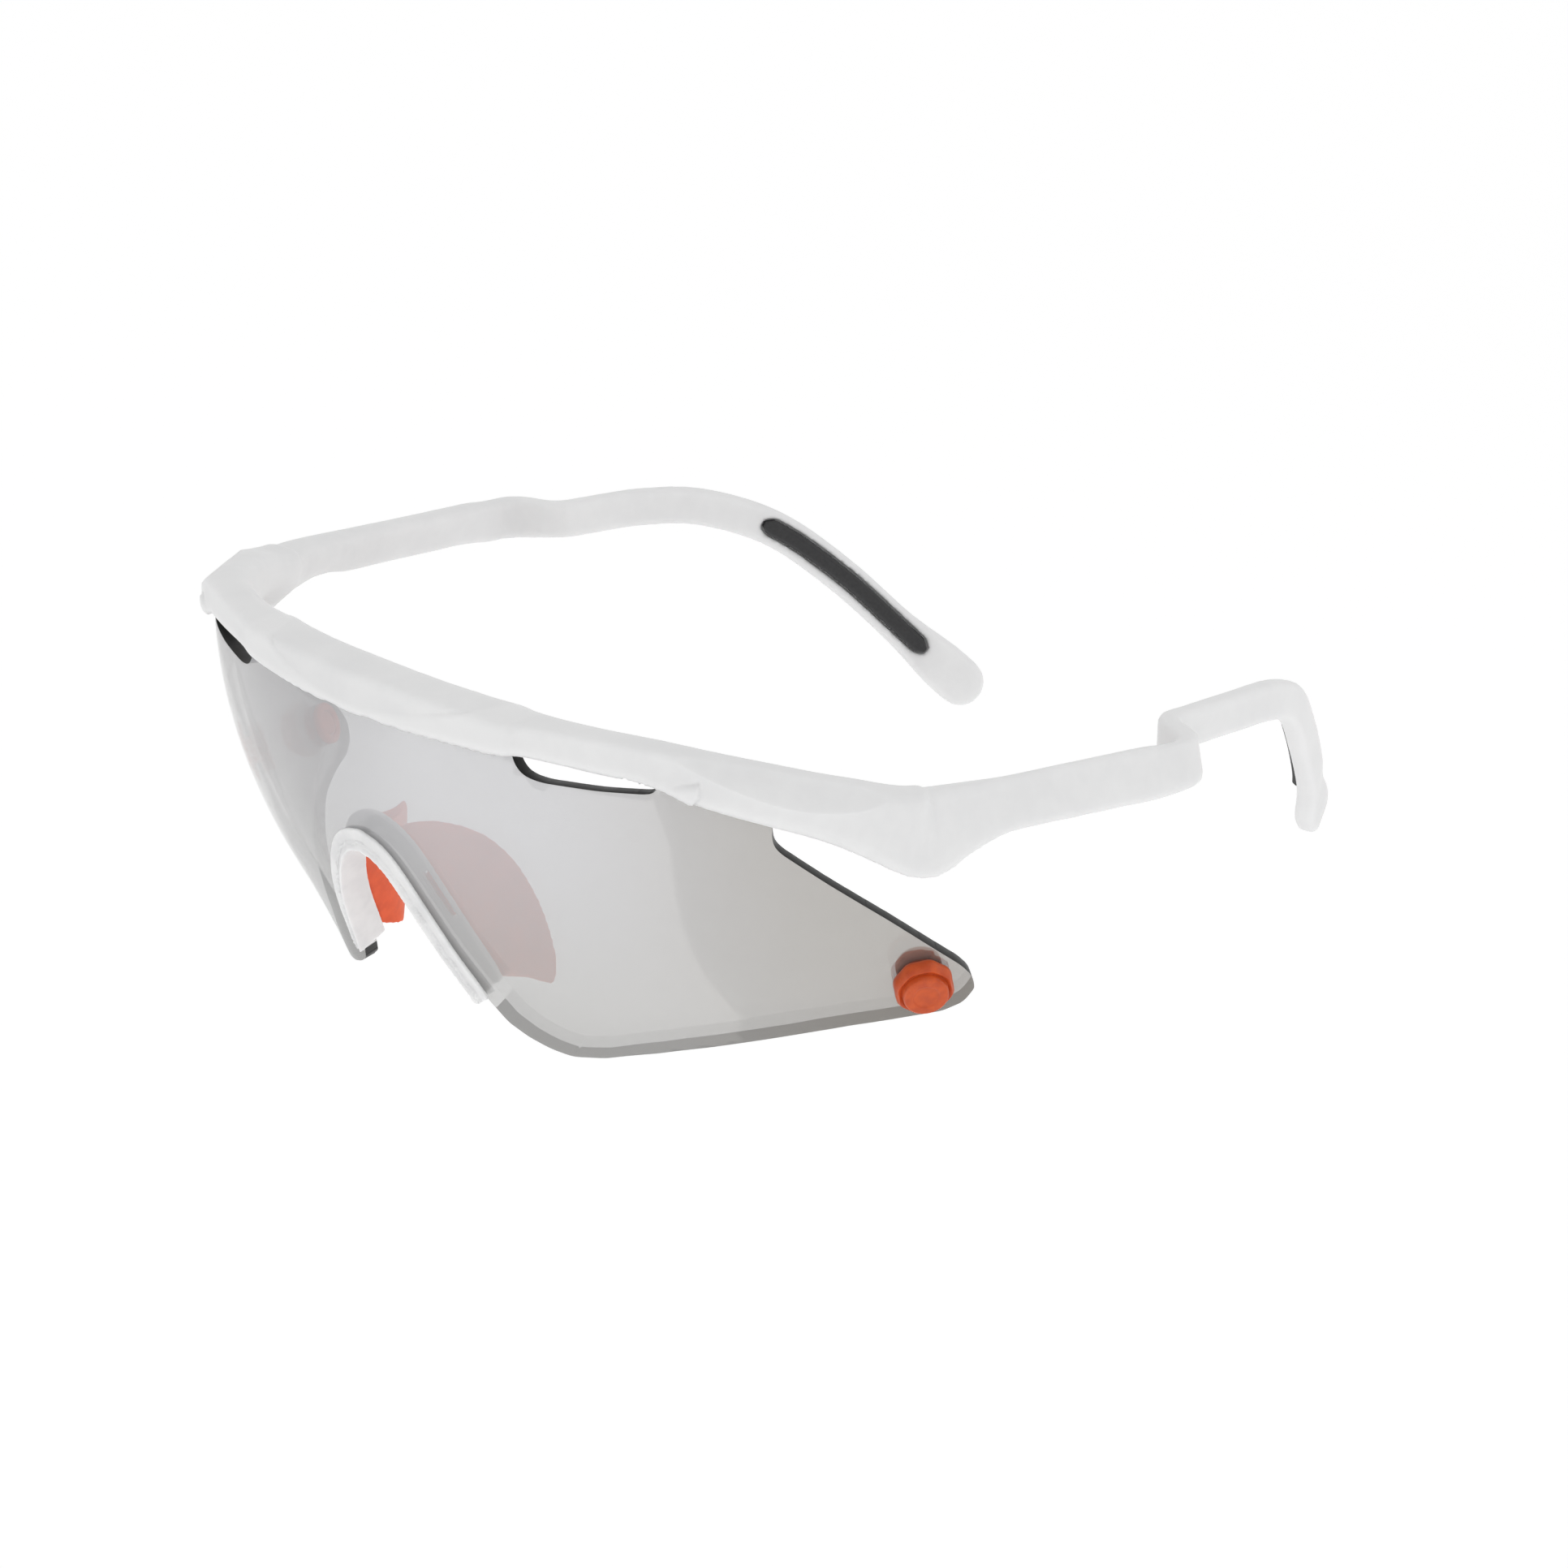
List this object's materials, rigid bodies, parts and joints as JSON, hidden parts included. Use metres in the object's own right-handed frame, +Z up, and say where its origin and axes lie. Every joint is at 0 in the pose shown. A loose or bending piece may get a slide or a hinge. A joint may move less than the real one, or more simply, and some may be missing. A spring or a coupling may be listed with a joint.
{
  "type": "sport sunglasses",
  "caption": "Wraparound shield sunglasses: one-piece frosted frame without hinges, tinted toric lens, clip-on nose bridge with soft pads, orange lens studs and soft stem grips.",
  "frame": {"origin": "on the middle plane, 11 mm behind the front of the lens and level with the top of the arms", "axes": "+Z up, the lens faces -Y, the arms run towards +Y, the wearer's left is +X"},
  "size_m": [0.1506, 0.1463, 0.0514],
  "materials": {
    "frosted_frame": "frosted translucent nylon",
    "tinted_lens": "polished grey photochromic sheet",
    "frosted_clip": "frosted translucent",
    "orange_pad": "soft matt",
    "orange_stud": "satin",
    "black_grip": "matt"
  },
  "bodies": {
    "frame": {"frame": "frosted_frame", "grip_left": "black_grip", "grip_right": "black_grip"},
    "lens": {"lens": "tinted_lens", "stud_left": "orange_stud", "stud_right": "orange_stud", "stud_cap_left": "orange_stud", "stud_cap_right": "orange_stud"},
    "nose_clip": {"nose_clip": "frosted_clip", "nose_pad_left": "orange_pad", "nose_pad_right": "orange_pad"}
  },
  "joints": [
    {"name": "lens_release", "type": "slide", "parent": "frame", "child": "lens", "axis": [0, 0, -1], "range_m": [0, 0.014]},
    {"name": "nose_clip_release", "type": "hinge", "parent": "lens", "child": "nose_clip", "pos_m": [0, 0.0529, -0.0028], "axis": [1, 0, 0], "range_deg": [0, 10]}
  ]
}
